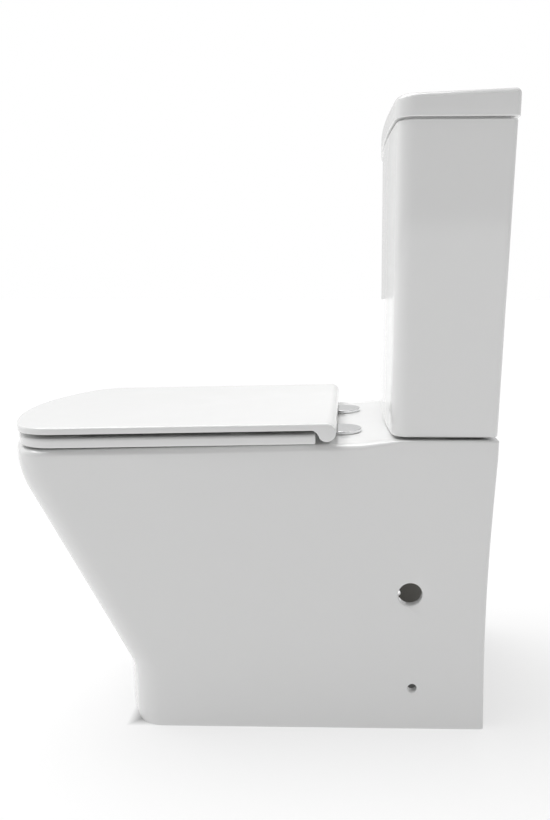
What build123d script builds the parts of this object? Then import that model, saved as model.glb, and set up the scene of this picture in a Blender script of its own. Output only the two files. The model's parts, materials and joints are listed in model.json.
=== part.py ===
from build123d import *
import math
import os

# All sizes in millimetres. +Z is up, +Y is towards the wall, and the user sits facing -Y.
# The origin is on the floor under the middle of the whole toilet.
# A distance from the wall is turned into a Y place by at().

depth = 658.0
wall_y = depth / 2

# pan
floor_half = 168.0
rim_half = 180.0
rear_half = 168.0
plinth_front = 521.0
brow_front = depth
lean = 26.1
plinth_bend = 60.0
brow_bend = 106.0
brow_height = 387.5
lean_start_height = 83.0
lean_end_height = 362.6
skirt_wall = 12.0
pan_bow = 320.0
pan_corner = 46.0
rear_scoop = 5.0
rim_front_height = 395.0
rim_slope = 1.2
platform_height = 410.0
platform_start = 128.0
platform_ramp = 42.0
deck_thick = 15.0
rim_round = 7.0
side_bore = 16.0
side_bore_place = (107.0, 201.5)
side_fixing = 6.25
side_fixing_place = (101.0, 63.0)

# bowl, trapway and outlet
bowl_wall = 10.0
water_passage = 27.0
outlet_height = 181.0
outlet_end = 140.0
outlet_length = 55.0
outlet_radius = 51.0
outlet_bore = 41.0
inlet_distance = 75.0
inlet_radius = 30.0

# seat, built level about its hinge line and then tipped with the rim
hinge_distance = 217.5
hinge_height = 421.6
hinge_x = 82.0
seat_front = 653.0
seat_half = 181.0
seat_bow = 335.0
seat_corner = 62.0
lid_top = 12.0
lid_under = 3.3
ring_top = -2.5
ring_under = -14.2
ear_radius = 11.3
knuckle_radius = 8.5
knuckle_bore = 6.5
pin_radius = 4.0
running_gap = 0.05
ring_knuckle = (96.5, 126.0)
lid_knuckle = (127.0, 157.0)
base_barrel = (69.0, 95.5)
disc_radius = 28.5
disc_distance = 201.0
disc_thick = 4.0
stud_radius = 4.0
stud_hole = 7.0

# cistern
cistern_base = 413.0
cistern_top = 781.0
cistern_base_half = 165.0
cistern_top_half = 183.0
cistern_front = 142.0
cistern_bow = 2200.0
cistern_corner = 22.0
cistern_rear = 2.0
cistern_wall = 9.0
cistern_floor = 12.0
cistern_inside_floor = cistern_base + cistern_floor
bolt_x = 75.0
bolt_radius = 4.0
bolt_hole = 7.0
shank_x = -120.0
shank_radius = 10.2
tail_radius = 10.5
tail_top = 402.0
shank_end = 372.0

# cistern lid and push button
lid_half = 185.0
lid_front = 146.0
lid_rear_height = 813.4
lid_fall = 2.4
lid_skirt_height = 783.5
lid_wall = 12.0
lid_ceiling = 799.0
button_seat = 808.0
button_radius = 20.7
sleeve_outer = 24.0
sleeve_inner = 21.2
button_top = 812.5
button_split = -4.0
button_gap = 0.5
full_rod_x = 8.0
half_rod_x = -12.5
rod_radius = 2.5
spring_low = 784.0
spring_high = 801.0

# flush valve
seat_bore = 22.0
lift_tube_radius = 13.0
lift_tube_low = 446.0
lift_tube_high = 665.0
housing_low = 688.0
housing_high = 712.0
plunger_radius = 4.0
plunger_top = 724.0

# fill valve
float_low = 600.0
float_high = 645.0
lever_pivot_x = shank_x + 24.0
lever_height = 700.0
float_rod_x = shank_x - 18.0


def at(distance):
    return wall_y - distance


def rim_height(distance):
    return rim_front_height + (depth - distance) * math.tan(math.radians(rim_slope))


# heights of the rim's top and the deck's underside, measured square to the tipped seat from its hinge line
rim_level = (rim_height(hinge_distance) - hinge_height) * math.cos(math.radians(rim_slope))
deck_under = rim_level - deck_thick * math.cos(math.radians(rim_slope))


# ---------- shared shapes

def plan(height, half, front, bow, corner, rear=0.0, rear_corner=6.0, rear_half=None):
    # plan outline of a bowed front, two round front corners, straight sides and a flat rear
    back = half if rear_half is None else rear_half
    bow_y = at(front) + bow
    corner_x = half - corner
    corner_y = bow_y - math.sqrt((bow - corner) ** 2 - corner_x ** 2)
    reach = bow / (bow - corner)
    join_x = corner_x * reach
    join_y = bow_y + (corner_y - bow_y) * reach
    middle_turn = (math.atan2(corner_x, bow_y - corner_y) + math.pi / 2) / 2
    middle_x = corner_x + corner * math.sin(middle_turn)
    middle_y = corner_y - corner * math.cos(middle_turn)
    rear_y = at(rear)
    inset = rear_corner * (1 - math.sqrt(0.5))
    edges = [ThreePointArc((-join_x, join_y), (0, at(front)), (join_x, join_y))]
    edges.append(ThreePointArc((join_x, join_y), (middle_x, middle_y), (half, corner_y)))
    edges.append(Line((half, corner_y), (back, rear_y - rear_corner)))
    edges.append(ThreePointArc((back, rear_y - rear_corner), (back - inset, rear_y - inset),
                               (back - rear_corner, rear_y)))
    edges.append(Line((back - rear_corner, rear_y), (rear_corner - back, rear_y)))
    edges.append(ThreePointArc((rear_corner - back, rear_y), (inset - back, rear_y - inset),
                               (-back, rear_y - rear_corner)))
    edges.append(Line((-back, rear_y - rear_corner), (-half, corner_y)))
    edges.append(ThreePointArc((-half, corner_y), (-middle_x, middle_y), (-join_x, join_y)))
    return Pos(0, 0, height) * make_face(edges)


def side_prism(points, half):
    # a side outline of (distance from wall, height) points, spread across the width
    corners = [(at(distance), height) for distance, height in points]
    outline = make_face(Polyline(*corners, close=True))
    return extrude(Plane.YZ * outline, amount=half, both=True)


def upright(radius, low, high, x=0.0, distance=0.0):
    return Pos(x, at(distance), low) * Cylinder(radius, high - low, align=(Align.CENTER, Align.CENTER, Align.MIN))


def upright_ring(outer, inner, low, high, x=0.0, distance=0.0):
    return upright(outer, low, high, x, distance) - upright(inner, low - 1, high + 1, x, distance)


def block(x_low, x_high, near, far, low, high):
    # a box between two distances from the wall
    size = Box(x_high - x_low, far - near, high - low)
    return Pos((x_low + x_high) / 2, at((near + far) / 2), (low + high) / 2) * size


def hexagon_nut(across, bore, low, high, x, distance):
    face = RegularPolygon(across / 2, 6, major_radius=False) - Circle(bore)
    return Pos(x, at(distance), low) * extrude(face, amount=high - low)


def both_sides(make):
    return [make(1), make(-1)]


def group(solids):
    return Compound(children=[solid.solid() for solid in solids])


# ---------- pan

def front_distance(height):
    # side view of the front: upright plinth, bend, leaning face, bend, upright brow
    slope = math.radians(lean)
    lower = plinth_bend * math.tan(slope / 2)
    upper = brow_bend * math.tan(slope / 2)
    if height <= lean_start_height - lower:
        return plinth_front
    if height < lean_start_height + lower * math.cos(slope):
        rise = height - (lean_start_height - lower)
        return plinth_front + plinth_bend - math.sqrt(plinth_bend ** 2 - rise ** 2)
    if height <= lean_end_height - upper * math.cos(slope):
        return plinth_front + (height - lean_start_height) * math.tan(slope)
    if height < lean_end_height + upper:
        drop = lean_end_height + upper - height
        return brow_front - brow_bend + math.sqrt(brow_bend ** 2 - drop ** 2)
    return brow_front


def scoop(height):
    # the rear edge of the skirt bows in slightly between floor and platform
    return rear_scoop * math.sin(math.pi * min(max(height / brow_height, 0.0), 1.0))


def skirt_sections(heights, inset=0.0, rear=None):
    faces = []
    for height in heights:
        share = min(max(height / brow_height, 0.0), 1.0)
        half = floor_half + (rim_half - floor_half) * share - inset
        front = front_distance(height) - inset
        back = scoop(height) if rear is None else rear
        faces.append(plan(height, half, front, pan_bow - inset, pan_corner - inset, back, 5.0, rear_half - inset))
    return faces


def rim_cutter(drop=0.0):
    # everything above the rim, its ramp and the platform; drop lowers it to the deck's underside
    top = 500.0
    ramp = platform_start + platform_ramp
    points = [(depth + 40, rim_height(depth + 40) - drop), (ramp, rim_height(ramp) - drop)]
    points += [(platform_start, platform_height - drop), (-60, platform_height - drop), (-60, top), (depth + 40, top)]
    return side_prism(points, 250)


bowl_levels = [
    # height, half width, front, rear, corner radius
    (425.0, 133.0, 609.0, 290.0, 100.0),
    (395.0, 131.0, 606.0, 292.0, 98.0),
    (340.0, 122.0, 590.0, 300.0, 90.0),
    (260.0, 98.0, 553.0, 317.0, 74.0),
    (190.0, 68.0, 509.0, 337.0, 54.0),
    (130.0, 44.0, 464.0, 352.0, 38.0),
    (76.0, 30.0, 424.0, 360.0, 26.0),
]


def bowl_solid(grow, stretch):
    # the bowl's inside at grow 0, its outside at grow = wall thickness
    faces = []
    for height, half, front, rear, corner in bowl_levels:
        level = height - (stretch if height < 80 else 0)
        face = plan(level, half + grow, front + grow, 420.0, corner + grow, rear - grow, corner * 0.7 + grow)
        faces.append(face)
    return loft(faces)


def trap_path():
    corners = [(415.0, 122.0), (372.0, 98.0), (268.0, 226.0), (222.0, outlet_height), (outlet_end, outlet_height)]
    points = [(0, at(distance), height) for distance, height in corners]
    return FilletPolyline(*points, radius=[30, 38, 26])


def tube_along(path, radius):
    section = Plane(origin=path @ 0, z_dir=path % 0) * Circle(radius)
    return sweep(section, path=path)


def lying_outlet(radius, near, far):
    tube = Cylinder(radius, far - near, rotation=(90, 0, 0))
    return Pos(0, at((near + far) / 2), outlet_height) * tube


def flush_way(grow, low, near):
    # way from under the cistern, under the deck, to the rear of the bowl
    return block(-34 - grow, 34 + grow, near, 318, low, 384 + grow)


def pan():
    bend = [69.1, 78.0, 87.0, 95.6]
    brow = [340.5, 354.0, 367.0, 378.0, 387.5]
    outer = loft(skirt_sections([0.0] + bend + [150.0, 240.0] + brow + [425.0]), ruled=True)
    outer = outer - rim_cutter()
    rim_edges = outer.edges().filter_by(lambda e: e.center().Z > 394.0 and abs(e.center().Y - wall_y) > 20.0)
    outer = fillet(rim_edges, rim_round)
    hollow = loft(skirt_sections([-1.0, 69.1, 95.6, 340.5, 387.5, 425.0], skirt_wall, -20.0), ruled=True)
    hollow = hollow - rim_cutter(deck_thick)
    shell = outer - hollow

    bowl = bowl_solid(bowl_wall, 12.0)
    path = trap_path()
    trap = tube_along(path, water_passage + bowl_wall)
    boss = upright(58.0, 345.0, 405.0, 0, inlet_distance)
    duct = flush_way(10.0, 342.0, 40.0)
    outlet = lying_outlet(outlet_radius, outlet_end, outlet_end + outlet_length)
    within = loft(skirt_sections([-1.0, 69.1, 95.6, 340.5, 387.5, 425.0], 6.0, 4.0), ruled=True) - rim_cutter(3.0)
    inside_parts = (bowl + duct + boss) & within
    shell = shell + inside_parts + trap + outlet

    shell = shell - bowl_solid(0.0, 0.0)
    shell = shell - tube_along(path, water_passage)
    shell = shell - lying_outlet(outlet_bore, outlet_end - 1, outlet_end + outlet_length - 10)
    shell = shell - flush_way(0.0, 352.0, 45.0)
    shell = shell - upright(inlet_radius, 352.0, 420.0, 0, inlet_distance)
    shell = shell - upright(48.0, 391.0, 420.0, 0, inlet_distance)
    for side in (1, -1):
        shell = shell - upright(bolt_hole, 380.0, 420.0, side * bolt_x, inlet_distance)
        shell = shell - upright(20.0, 380.0, 420.0, side * shank_x, inlet_distance)
        shell = shell - seat_place() * seat_upright(stud_hole, -50, 0, side * hinge_x, disc_distance)
        for radius, place in ((side_bore, side_bore_place), (side_fixing, side_fixing_place)):
            bore = Cylinder(radius, 60, rotation=(0, 90, 0))
            shell = shell - Pos(side * 160, at(place[0]), place[1]) * bore
    return shell


# ---------- seat, in its own level frame with the hinge line as origin

def seat_place():
    return Pos(0, at(hinge_distance), hinge_height) * Rot(rim_slope, 0, 0)


def seat_y(distance):
    return hinge_distance - distance


def seat_upright(radius, low, high, x, distance):
    return Pos(x, seat_y(distance), low) * Cylinder(radius, high - low, align=(Align.CENTER, Align.CENTER, Align.MIN))


def seat_box(x_low, x_high, near, far, low, high):
    size = Box(x_high - x_low, far - near, high - low)
    return Pos((x_low + x_high) / 2, seat_y((near + far) / 2), (low + high) / 2) * size


def hinge_roll(radius, x_low, x_high):
    return Pos((x_low + x_high) / 2, 0, 0) * Cylinder(radius, x_high - x_low, rotation=(0, 90, 0))


def seat_slab(low, high, inset, rear):
    lift = hinge_distance - wall_y
    face = plan(low, seat_half - inset, seat_front - inset, seat_bow, seat_corner, rear, 1.5)
    return Pos(0, lift, 0) * extrude(face, amount=high - low)


def level_edges(solid, height, forward):
    near_height = solid.edges().filter_by(lambda e: abs(e.center().Z - height) < 0.01)
    return near_height.filter_by(lambda e: e.center().Y < -forward)


def seat_lid():
    slab = seat_slab(lid_under, lid_top, 0.0, hinge_distance)
    slab = fillet(level_edges(slab, lid_top, 5.0), 3.0)
    slab = fillet(level_edges(slab, lid_under, 5.0), 1.2)
    roll = hinge_roll(lid_top, -seat_half, seat_half)
    roll = roll & seat_box(-200, 200, hinge_distance - 20, hinge_distance, 0, 20)
    bridge = seat_box(-seat_half, seat_half, hinge_distance, hinge_distance + 14, lid_under, lid_top)
    lid = slab + roll + bridge
    lid = lid - hinge_roll(9.3, -lid_knuckle[1], lid_knuckle[1])
    for side in (1, -1):
        inner = sorted((side * lid_knuckle[0], side * lid_knuckle[1]))
        outer = sorted((side * lid_knuckle[1], side * seat_half))
        lid = lid + hinge_roll(9.6, *inner) + hinge_roll(ear_radius, *outer)
        lid = lid + seat_box(*outer, hinge_distance, hinge_distance + ear_radius, 0, lid_top - 3)
        lid = lid - hinge_roll(knuckle_bore, min(inner) - 1, max(inner) + 0.5)
    return seat_place() * lid


def seat_ring():
    slab = seat_slab(ring_under, ring_top, 1.2, hinge_distance + 13)
    opening_face = plan(0, 112.0, 580.0, 300.0, 88.0, 302.0, 60.0)
    opening = Pos(0, hinge_distance - wall_y, -30) * extrude(opening_face, amount=60)
    slab = slab - opening
    slab = fillet(level_edges(slab, ring_top, 14.0), 3.0)
    slab = fillet(level_edges(slab, ring_under, 14.0), 2.0)
    for side in (1, -1):
        span = sorted((side * ring_knuckle[0], side * ring_knuckle[1]))
        slab = slab + hinge_roll(knuckle_radius, *span)
        slab = slab + seat_box(*span, hinge_distance, hinge_distance + 18, -knuckle_radius, ring_top)
        slab = slab - hinge_roll(knuckle_bore, min(span) - 1, max(span) + 1)
    return seat_place() * slab


def pad_group(places, size, low, high):
    pads = []
    for x, distance in places:
        pads.append(seat_place() * seat_box(x - size[0] / 2, x + size[0] / 2, distance - size[1] / 2,
                                            distance + size[1] / 2, low, high))
    return group(pads)


def sleeve_in_knuckle(span, side):
    low, high = sorted((side * span[0], side * span[1]))
    return seat_place() * (hinge_roll(knuckle_bore - 0.02, low, high)
                           - hinge_roll(pin_radius + running_gap, low - 1, high + 1))


def hinge_disc(side):
    top = rim_level + 1 + disc_thick
    disc = seat_upright(disc_radius, rim_level + 1, top, side * hinge_x, disc_distance)
    disc = fillet(disc.edges().filter_by(lambda e: e.center().Z > top - 0.01), 1.0)
    socket = seat_upright(stud_radius + 0.02, -20, rim_level + 4, side * hinge_x, disc_distance)
    return seat_place() * (disc - socket)


def hinge_post(side):
    low, high = sorted((side * base_barrel[0], side * base_barrel[1]))
    foot = rim_level + 1 + disc_thick
    post = seat_box(low, high, hinge_distance + 2.5, hinge_distance + 9, foot, -4)
    post = post + hinge_roll(knuckle_radius, low, high)
    return seat_place() * (post - hinge_roll(pin_radius + 0.01, low - 1, high + 1))


def hinge_gasket(side):
    ring = seat_upright(disc_radius - 0.8, rim_level, rim_level + 1, side * hinge_x, disc_distance)
    return seat_place() * (ring - seat_upright(stud_radius + 0.1, -30, 0, side * hinge_x, disc_distance))


def hinge_pin(side):
    low, high = sorted((side * (base_barrel[0] + 1), side * (lid_knuckle[1] - 0.5)))
    return seat_place() * hinge_roll(pin_radius, low, high)


def hinge_stud(side):
    return seat_place() * seat_upright(stud_radius, deck_under - 26, rim_level + 3.8, side * hinge_x, disc_distance)


def stud_bush(side):
    x = side * hinge_x
    bush = seat_upright(stud_hole - 0.3, deck_under - 4, rim_level - 6, x, disc_distance)
    bush = bush + seat_upright(14, deck_under - 8, deck_under, x, disc_distance)
    return seat_place() * (bush - seat_upright(stud_radius + 0.1, -70, 0, x, disc_distance))


def stud_washer(side):
    x = side * hinge_x
    ring = seat_upright(12, deck_under - 10, deck_under - 8, x, disc_distance)
    return seat_place() * (ring - seat_upright(stud_radius + 0.2, -70, 0, x, disc_distance))


def stud_nut(side):
    face = RegularPolygon(7.5, 6, major_radius=False) - Circle(stud_radius + 0.02)
    return seat_place() * Pos(side * hinge_x, seat_y(disc_distance), deck_under - 18) * extrude(face, amount=8)


# ---------- cistern

def cistern():
    outer = loft([plan(cistern_base, cistern_base_half, cistern_front - 1, cistern_bow, cistern_corner, cistern_rear),
                  plan(cistern_top, cistern_top_half, cistern_front + 1.5, cistern_bow, cistern_corner,
                       cistern_rear)], ruled=True)
    bottom = outer.edges().filter_by(lambda e: abs(e.center().Z - cistern_base) < 0.01)
    outer = fillet(bottom, 3.0)
    inner = loft([plan(cistern_inside_floor, cistern_base_half - cistern_wall, cistern_front - 1 - cistern_wall,
                       cistern_bow, cistern_corner - 8, cistern_rear + cistern_wall),
                  plan(cistern_top + 5, cistern_top_half - cistern_wall, cistern_front + 1.5 - cistern_wall,
                       cistern_bow, cistern_corner - 8, cistern_rear + cistern_wall)], ruled=True)
    tank = outer - inner
    tank = tank - upright(29.0, 400, 440, 0, inlet_distance)
    tank = tank - upright(tail_radius + 1.5, 400, 440, shank_x, inlet_distance)
    for side in (1, -1):
        tank = tank - upright(bolt_hole, 400, 440, side * bolt_x, inlet_distance)
    return tank


def cistern_pads():
    pads = []
    for x in (-138, 138):
        for distance in (22, 118):
            pads.append(block(x - 9, x + 9, distance - 6, distance + 6, platform_height, cistern_base))
    return group(pads)


def foam_washer():
    return upright_ring(46.0, 34.5, 391.0, cistern_base, 0, inlet_distance)


def cistern_bolt(side):
    x = side * bolt_x
    shaft = upright(bolt_radius, 362, cistern_inside_floor + 8, x, inlet_distance)
    head = upright(9.0, cistern_inside_floor + 7.5, cistern_inside_floor + 12, x, inlet_distance)
    return shaft + head


def bolt_seal(side):
    return upright_ring(15.0, bolt_radius, cistern_inside_floor, cistern_inside_floor + 6, side * bolt_x,
                        inlet_distance)


def bolt_washer(side):
    top = upright_ring(12.0, bolt_radius + 0.2, cistern_inside_floor + 6, cistern_inside_floor + 7.5,
                       side * bolt_x, inlet_distance)
    return top


def under_washer(side):
    low = platform_height - deck_thick - 3
    return upright_ring(16.0, bolt_radius + 0.2, low, low + 3, side * bolt_x, inlet_distance)


def wing_nut(side):
    x = side * bolt_x
    low = platform_height - deck_thick - 13
    body = upright(8.0, low, low + 10, x, inlet_distance)
    for wing in (1, -1):
        body = body + Pos(x, at(inlet_distance + wing * 13), low + 2) * Box(3, 14, 12)
    return body - upright(bolt_radius, low - 9, low + 11, x, inlet_distance)


# ---------- flush valve

def flush_base():
    tail = upright(27.0, 397.0, 434.0, 0, inlet_distance)
    flange = upright(38.0, 428.0, 434.0, 0, inlet_distance)
    lip = upright(26.0, 434.0, 440.0, 0, inlet_distance)
    base = tail + flange + lip
    return base - upright(seat_bore, 390.0, 450.0, 0, inlet_distance)


def flush_base_washer():
    return upright_ring(40.0, 27.0, cistern_inside_floor, 428.0, 0, inlet_distance)


def flush_back_nut():
    nut = upright(33.5, 401.0, 412.8, 0, inlet_distance)
    return nut - upright(27.0, 390.0, 420.0, 0, inlet_distance)


def flush_cage():
    wall = upright_ring(38.0, 35.0, 434.0, 520.0, 0, inlet_distance)
    for turn in (0, 90):
        window = Pos(0, at(inlet_distance), 474) * Rot(0, 0, turn + 45) * Box(90, 34, 60)
        wall = wall - window
    hub = upright_ring(18.0, lift_tube_radius + 0.4, 512.0, 520.0, 0, inlet_distance)
    spoke = upright_ring(36.0, 17.0, 515.0, 520.0, 0, inlet_distance)
    for turn in (0, 90):
        gap = Pos(0, at(inlet_distance), 518) * Rot(0, 0, turn + 45) * Box(66, 22, 20)
        spoke = spoke - gap
    cage = wall + hub + spoke
    for side in (1, -1):
        cage = cage + upright(4.0, 515.0, housing_low, side * 33.0, inlet_distance)
    return cage


def flush_housing():
    body = block(-40, 40, inlet_distance - 18, inlet_distance + 18, housing_low, housing_high)
    body = fillet(body.edges().filter_by(Axis.Z), 8.0)
    for x in (full_rod_x, half_rod_x):
        body = body - upright(plunger_radius + running_gap, housing_low + 3, housing_high + 1, x, inlet_distance)
    return body


def lift_tube():
    tube = upright(lift_tube_radius, lift_tube_low - 3, lift_tube_high, 0, inlet_distance)
    flange = upright(27.0, lift_tube_low - 3, lift_tube_low + 1, 0, inlet_distance)
    return tube + flange - upright(11.0, 400, 700, 0, inlet_distance)


def flush_seal():
    return upright_ring(29.0, 11.0, 440.1, lift_tube_low - 3, 0, inlet_distance)


def flush_float():
    return upright_ring(26.0, lift_tube_radius, 560.0, 600.0, 0, inlet_distance)


def plunger(x):
    return upright(plunger_radius, housing_low + 14, plunger_top, x, inlet_distance)


# ---------- fill valve

def fill_body():
    tail = upright(tail_radius, shank_end, tail_top, shank_x, inlet_distance)
    shank = upright(shank_radius, tail_top, 440.0, shank_x, inlet_distance)
    flange = upright(18.0, 428.0, 433.0, shank_x, inlet_distance)
    tube = upright(11.0, 433.0, 690.0, shank_x, inlet_distance)
    return tail + shank + flange + tube - upright(6.0, 360.0, 680.0, shank_x, inlet_distance)


def fill_washer():
    return upright_ring(17.0, shank_radius, cistern_inside_floor, 428.0, shank_x, inlet_distance)


def fill_back_nut():
    return hexagon_nut(30.0, shank_radius, 403.0, 412.8, shank_x, inlet_distance)


def fill_head():
    head = upright(19.0, 690.0, 714.0, shank_x, inlet_distance)
    head = fillet(head.edges().filter_by(lambda e: e.center().Z > 713), 4.0)
    for y_side in (1, -1):
        cheek_near = inlet_distance + y_side * 7.5
        head = head + block(shank_x + 10, lever_pivot_x + 5, cheek_near - 2, cheek_near + 2, 694, 706)
    bore = Cylinder(2.0, 40, rotation=(90, 0, 0))
    return head - Pos(lever_pivot_x, at(inlet_distance), lever_height) * bore


def lever_axle():
    axle = Cylinder(1.95, 19, rotation=(90, 0, 0))
    return Pos(lever_pivot_x, at(inlet_distance), lever_height) * axle


def float_lever():
    # starts between the cheeks, passes in front of the head and ends in a fork round the float rod
    near = inlet_distance + 20
    hub = Cylinder(4.5, 10, rotation=(90, 0, 0)) - Cylinder(2.0, 20, rotation=(90, 0, 0))
    lever = Pos(lever_pivot_x, at(inlet_distance), lever_height) * hub
    lever = lever + block(lever_pivot_x + 3.6, lever_pivot_x + 11, inlet_distance - 4, inlet_distance + 4, 698, 702)
    lever = lever + block(lever_pivot_x + 6.5, lever_pivot_x + 11, inlet_distance, near + 6, 698, 702)
    lever = lever + block(float_rod_x - 6, lever_pivot_x + 11, near, near + 6, 698, 702)
    return lever


def fill_float():
    return upright_ring(25.0, 11.6, float_low, float_high, shank_x, inlet_distance)


def float_rod():
    distance = inlet_distance + 23
    rod = upright(1.5, float_high + 1, 695.0, float_rod_x, distance)
    foot = block(float_rod_x - 4, float_rod_x + 4, inlet_distance + 14, distance + 4, float_high, float_high + 4)
    stop = upright(4.0, 692.0, 696.0, float_rod_x, distance)
    return rod + foot + stop


# ---------- cistern lid and push button

def lid_cutter():
    fall = math.tan(math.radians(lid_fall))
    front = lid_front + 40
    return side_prism([(-20, lid_rear_height + 20 * fall), (front, lid_rear_height - front * fall),
                       (front, 900), (-20, 900)], 250)


def cistern_lid():
    face = plan(lid_skirt_height, lid_half, lid_front, cistern_bow, cistern_corner + 2, 0.0, 6.0)
    block_lid = extrude(face, amount=40) - lid_cutter()
    top_edges = block_lid.edges().filter_by(lambda e: e.center().Z > 804.0)
    block_lid = fillet(top_edges, 7.0)
    land = extrude(plan(cistern_top, lid_half - 6, lid_front - 6, cistern_bow, cistern_corner - 4, 6.0, 4.0),
                   amount=3.0)
    rib = extrude(plan(cistern_top - 10, cistern_top_half - cistern_wall - 2, cistern_front + 1.5 - cistern_wall - 2,
                       cistern_bow, cistern_corner - 10, cistern_rear + cistern_wall + 2, 4.0), amount=12.0)
    pocket = extrude(plan(cistern_top - 20, cistern_top_half - cistern_wall - 9,
                          cistern_front + 1.5 - cistern_wall - 9, cistern_bow, 8.0,
                          cistern_rear + cistern_wall + 9, 4.0), amount=lid_ceiling - cistern_top + 20)
    lid = block_lid + land + rib - pocket
    lid = lid - upright(30.0, button_seat, 830, 0, inlet_distance)
    return lid - upright(sleeve_outer + 0.5, 760, 830, 0, inlet_distance)


def button_bezel():
    flange = upright_ring(29.4, sleeve_inner, button_seat, button_top, 0, inlet_distance)
    return fillet(flange.edges().filter_by(lambda e: e.center().Z > button_top - 0.01), 1.2)


def button_sleeve():
    sleeve = upright_ring(sleeve_outer, sleeve_inner, 776.0, button_seat, 0, inlet_distance)
    web = upright(sleeve_inner + 0.5, 780.0, spring_low, 0, inlet_distance)
    for x in (full_rod_x, half_rod_x):
        web = web - upright(rod_radius + 0.5, 770, 790, x, inlet_distance)
    return sleeve + web


def button_lock_nut():
    return upright_ring(33.0, sleeve_outer, 792.0, lid_ceiling, 0, inlet_distance)


def button(full):
    body = upright(button_radius, spring_high, button_top - 0.5, 0, inlet_distance)
    if full:
        cut = block(button_split + button_gap, 60, 0, 200, 700, 900)
    else:
        cut = block(-60, button_split - button_gap, 0, 200, 700, 900)
    return body & cut


def push_rod(x):
    return upright(rod_radius, plunger_top + 0.5, spring_high, x, inlet_distance)


def button_spring(x):
    return upright_ring(4.6, 3.4, spring_low, spring_high, x, inlet_distance)


ring_buffer_places = [(152, 300), (-152, 300), (104, 606), (-104, 606)]
lid_buffer_places = [(148, 330), (-148, 330), (96, 604), (-96, 604)]

nodes = {
    "pan": pan,
    "seat_ring": seat_ring,
    "ring_buffers": lambda: pad_group(ring_buffer_places, (14, 26), rim_level + 0.1, ring_under),
    "ring_damper": lambda: sleeve_in_knuckle(ring_knuckle, 1),
    "ring_bush": lambda: sleeve_in_knuckle(ring_knuckle, -1),
    "seat_lid": seat_lid,
    "lid_buffers": lambda: pad_group(lid_buffer_places, (10, 22), ring_top + 0.1, lid_under),
    "lid_damper": lambda: sleeve_in_knuckle(lid_knuckle, -1),
    "lid_bush": lambda: sleeve_in_knuckle(lid_knuckle, 1),
    "hinge_discs": lambda: group(both_sides(hinge_disc)),
    "right_hinge_post": lambda: hinge_post(1),
    "left_hinge_post": lambda: hinge_post(-1),
    "right_hinge_pin": lambda: hinge_pin(1),
    "left_hinge_pin": lambda: hinge_pin(-1),
    "hinge_gaskets": lambda: group(both_sides(hinge_gasket)),
    "hinge_studs": lambda: group(both_sides(hinge_stud)),
    "stud_bushes": lambda: group(both_sides(stud_bush)),
    "stud_washers": lambda: group(both_sides(stud_washer)),
    "stud_nuts": lambda: group(both_sides(stud_nut)),
    "cistern": cistern,
    "cistern_pads": cistern_pads,
    "foam_washer": foam_washer,
    "cistern_bolts": lambda: group(both_sides(cistern_bolt)),
    "bolt_seals": lambda: group(both_sides(bolt_seal)),
    "bolt_washers": lambda: group(both_sides(bolt_washer)),
    "under_washers": lambda: group(both_sides(under_washer)),
    "wing_nuts": lambda: group(both_sides(wing_nut)),
    "flush_valve_base": flush_base,
    "flush_valve_washer": flush_base_washer,
    "flush_valve_back_nut": flush_back_nut,
    "flush_valve_cage": flush_cage,
    "flush_valve_housing": flush_housing,
    "overflow_lift_tube": lift_tube,
    "flush_seal": flush_seal,
    "flush_float": flush_float,
    "full_flush_plunger": lambda: plunger(full_rod_x),
    "half_flush_plunger": lambda: plunger(half_rod_x),
    "fill_valve_body": fill_body,
    "fill_valve_washer": fill_washer,
    "fill_valve_back_nut": fill_back_nut,
    "fill_valve_head": fill_head,
    "lever_axle": lever_axle,
    "float_lever": float_lever,
    "fill_float": fill_float,
    "float_rod": float_rod,
    "cistern_lid": cistern_lid,
    "button_bezel": button_bezel,
    "button_sleeve": button_sleeve,
    "button_lock_nut": button_lock_nut,
    "full_flush_button": lambda: button(True),
    "half_flush_button": lambda: button(False),
    "full_push_rod": lambda: push_rod(full_rod_x),
    "half_push_rod": lambda: push_rod(half_rod_x),
    "full_button_spring": lambda: button_spring(full_rod_x),
    "half_button_spring": lambda: button_spring(half_rod_x),
}

os.makedirs("parts", exist_ok=True)
for name, make in nodes.items():
    export_step(make(), f"parts/{name}.step")
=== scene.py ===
import bmesh
import bpy
import json
import math
from mathutils import Matrix, Vector


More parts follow.
